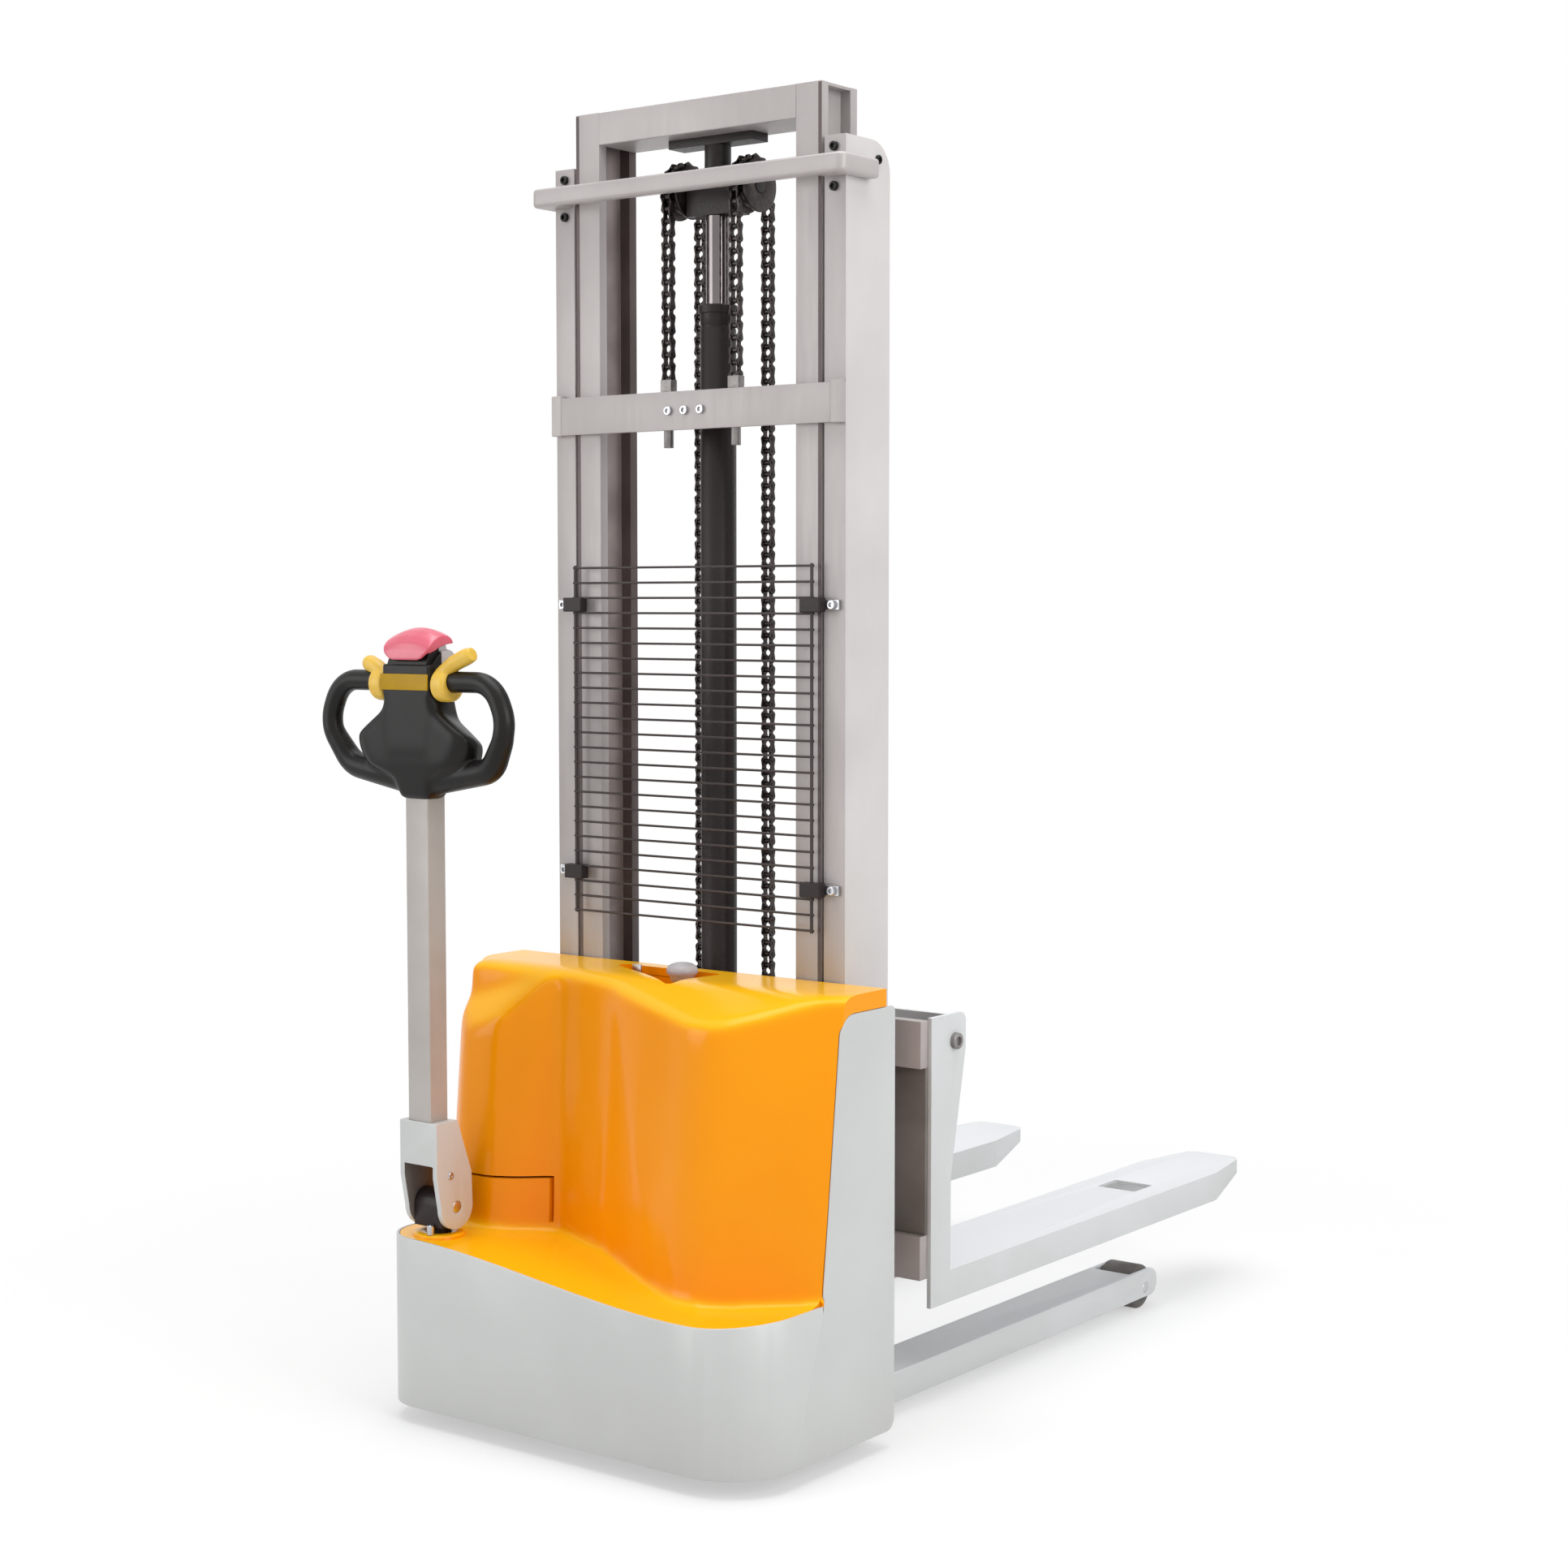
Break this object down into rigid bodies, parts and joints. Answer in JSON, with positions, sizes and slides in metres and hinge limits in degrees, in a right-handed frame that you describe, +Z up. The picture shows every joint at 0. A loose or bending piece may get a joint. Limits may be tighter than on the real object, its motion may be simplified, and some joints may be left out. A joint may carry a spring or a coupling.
{
  "type": "electric stacker",
  "caption": "Pedestrian electric stacker with a two-stage lifting mast, straddling forks over support legs, an offset steering tiller and a moulded battery hood.",
  "frame": {"origin": "bottom centre of the whole truck's box, on the floor", "axes": "+Z up, +Y towards the fork tips, +X to the operator's right when facing the mast"},
  "size_m": [0.9033, 1.7274, 2.167],
  "materials": {
    "orange_moulding": "glossy moulded cover",
    "silver_paint": "satin powder coat",
    "mast_paint": "satin enamel",
    "dark_paint": "satin enamel",
    "dark_wire": "coated wire",
    "black_plastic": "fine texture",
    "red_plastic": "glossy",
    "yellow_plastic": "satin",
    "grey_plastic": "satin",
    "steel": "machined",
    "bolt_steel": "blackened and zinc plated",
    "chrome": "hard chrome",
    "chain_steel": "oiled",
    "polyurethane": "polyurethane tread"
  },
  "bodies": {
    "chassis": {"chassis_shell": "silver_paint", "base_plate": "dark_paint", "bulkhead": "dark_paint", "hood": "orange_moulding", "service_hatch": "orange_moulding", "deck_cover": "orange_moulding", "mast_foot": "mast_paint", "support_leg_left": "silver_paint", "support_leg_right": "silver_paint", "load_wheel_axles": "steel", "outer_mast_left": "mast_paint", "outer_mast_right": "mast_paint", "mast_yoke": "mast_paint", "mast_crossbeam": "mast_paint", "chain_anchors": "steel", "lift_cylinder": "dark_paint", "lift_chains_rear": "chain_steel", "wire_guard": "dark_wire", "guard_clips": "black_plastic", "mast_bolts": "bolt_steel", "batteries": "black_plastic", "power_pack": "dark_paint", "motor_controller": "dark_paint", "caster_mount": "dark_paint", "steering_chain": "chain_steel"},
    "steering": {"steering_column": "steel"},
    "tiller": {"tiller_pivot_pin": "steel", "tiller_clevis": "silver_paint", "tiller_tube": "silver_paint", "tiller_head": "black_plastic", "handle_loops": "black_plastic", "head_plate": "yellow_plastic"},
    "throttle": {"throttle_levers": "yellow_plastic"},
    "belly_button": {"belly_button": "red_plastic"},
    "lift_rocker": {"lift_rocker": "black_plastic"},
    "horn_button": {"horn_button": "black_plastic"},
    "key_switch": {"key_switch": "steel"},
    "emergency_stop": {"emergency_stop": "grey_plastic"},
    "drive_unit": {"drive_unit": "dark_paint", "drive_motor": "dark_paint"},
    "drive_wheel": {"drive_wheel": "polyurethane"},
    "caster_fork": {"caster_fork": "dark_paint"},
    "caster_wheel": {"caster_wheel": "polyurethane"},
    "load_wheel_left": {"load_wheel_left": "polyurethane"},
    "load_wheel_right": {"load_wheel_right": "polyurethane"},
    "inner_mast": {"inner_mast_left": "mast_paint", "inner_mast_right": "mast_paint", "inner_beams": "mast_paint", "piston_rod": "chrome", "chain_wheel_carrier": "dark_paint", "lift_chains_front": "chain_steel"},
    "chain_wheels": {"chain_wheels": "steel"},
    "inner_mast_rollers": {"inner_mast_rollers": "steel"},
    "outer_mast_rollers": {"outer_mast_rollers": "steel"},
    "carriage": {"carriage_cheeks": "silver_paint", "carriage_bars": "silver_paint", "fork_left": "silver_paint", "fork_right": "silver_paint"},
    "carriage_rollers_upper": {"carriage_rollers_upper": "steel"},
    "carriage_rollers_lower": {"carriage_rollers_lower": "steel"}
  },
  "joints": [
    {"name": "tiller_steer", "type": "hinge", "parent": "chassis", "child": "steering", "pos_m": [-0.23926, -0.79375, 0.258], "axis": [0, 0, 1], "range_deg": [-75, 75]},
    {"name": "tiller_tilt", "type": "hinge", "parent": "steering", "child": "tiller", "pos_m": [-0.23926, -0.79375, 0.358], "axis": [1, 0, 0], "range_deg": [0, 70], "stiffness_Nm_per_rad": 40, "springref_deg": -28.65},
    {"name": "throttle_turn", "type": "hinge", "parent": "tiller", "child": "throttle", "pos_m": [-0.23926, -0.83575, 1.222], "axis": [1, 0, 0], "range_deg": [-30, 30], "stiffness_Nm_per_rad": 0.6},
    {"name": "belly_button_press", "type": "slide", "parent": "tiller", "child": "belly_button", "axis": [0, 0, -1], "range_m": [0, 0.006], "stiffness_N_per_m": 600, "springref_m": -0.01},
    {"name": "lift_rocker_turn", "type": "hinge", "parent": "tiller", "child": "lift_rocker", "pos_m": [-0.23926, -0.80175, 1.222], "axis": [1, 0, 0], "range_deg": [-6, 6], "stiffness_Nm_per_rad": 0.3},
    {"name": "horn_press", "type": "slide", "parent": "tiller", "child": "horn_button", "axis": [0, -1, 0], "range_m": [0, 0.003], "stiffness_N_per_m": 300, "springref_m": -0.003},
    {"name": "key_turn", "type": "hinge", "parent": "chassis", "child": "key_switch", "pos_m": [-0.01626, -0.54875, 0.718], "axis": [0, 0, 1], "range_deg": [0, 90]},
    {"name": "emergency_stop_press", "type": "slide", "parent": "chassis", "child": "emergency_stop", "axis": [0, 0, -1], "range_m": [0, 0.006]},
    {"name": "drive_steer", "type": "hinge", "parent": "chassis", "child": "drive_unit", "pos_m": [-0.20126, -0.63075, 0.244], "axis": [0, 0, 1], "range_deg": [-75, 75]},
    {"name": "drive_wheel_spin", "type": "hinge", "parent": "drive_unit", "child": "drive_wheel", "pos_m": [-0.20126, -0.63075, 0.1], "axis": [1, 0, 0], "continuous": true},
    {"name": "caster_swivel", "type": "hinge", "parent": "chassis", "child": "caster_fork", "pos_m": [0.31874, -0.69075, 0.166], "axis": [0, 0, 1], "continuous": true},
    {"name": "caster_wheel_spin", "type": "hinge", "parent": "caster_fork", "child": "caster_wheel", "pos_m": [0.31874, -0.72575, 0.0625], "axis": [1, 0, 0], "continuous": true},
    {"name": "load_wheel_left_spin", "type": "hinge", "parent": "chassis", "child": "load_wheel_left", "pos_m": [-0.19176, 0.49725, 0.042], "axis": [1, 0, 0], "continuous": true},
    {"name": "load_wheel_right_spin", "type": "hinge", "parent": "chassis", "child": "load_wheel_right", "pos_m": [0.31924, 0.49725, 0.042], "axis": [1, 0, 0], "continuous": true},
    {"name": "mast_lift", "type": "slide", "parent": "chassis", "child": "inner_mast", "axis": [0, 0, 1], "range_m": [-0.074, 1.333], "deforming": ["lift_chains_rear"]},
    {"name": "carriage_lift", "type": "slide", "parent": "inner_mast", "child": "carriage", "axis": [0, 0, 1], "range_m": [-0.074, 1.333], "deforming": ["lift_chains_front"]},
    {"name": "chain_wheels_turn", "type": "hinge", "parent": "inner_mast", "child": "chain_wheels", "pos_m": [0.06374, -0.42975, 2.028], "axis": [1, 0, 0], "continuous": true},
    {"name": "inner_mast_rollers_turn", "type": "hinge", "parent": "inner_mast", "child": "inner_mast_rollers", "pos_m": [0.06374, -0.43025, 0.209], "axis": [1, 0, 0], "continuous": true},
    {"name": "outer_mast_rollers_turn", "type": "hinge", "parent": "chassis", "child": "outer_mast_rollers", "pos_m": [0.06374, -0.44275, 2.042], "axis": [1, 0, 0], "continuous": true},
    {"name": "carriage_rollers_upper_turn", "type": "hinge", "parent": "carriage", "child": "carriage_rollers_upper", "pos_m": [0.06374, -0.44275, 0.6], "axis": [1, 0, 0], "continuous": true},
    {"name": "carriage_rollers_lower_turn", "type": "hinge", "parent": "carriage", "child": "carriage_rollers_lower", "pos_m": [0.06374, -0.44275, 0.3], "axis": [1, 0, 0], "continuous": true}
  ],
  "couplings": [
    {"joint": "drive_steer", "follows": "tiller_steer", "ratio": 1},
    {"joint": "carriage_lift", "follows": "mast_lift", "ratio": 1},
    {"joint": "chain_wheels_turn", "follows": "mast_lift", "rad_per_m": 23.256},
    {"joint": "inner_mast_rollers_turn", "follows": "mast_lift", "rad_per_m": 25.51},
    {"joint": "outer_mast_rollers_turn", "follows": "mast_lift", "rad_per_m": -33.67},
    {"joint": "carriage_rollers_upper_turn", "follows": "mast_lift", "rad_per_m": -33.67},
    {"joint": "carriage_rollers_lower_turn", "follows": "mast_lift", "rad_per_m": 33.67}
  ]
}
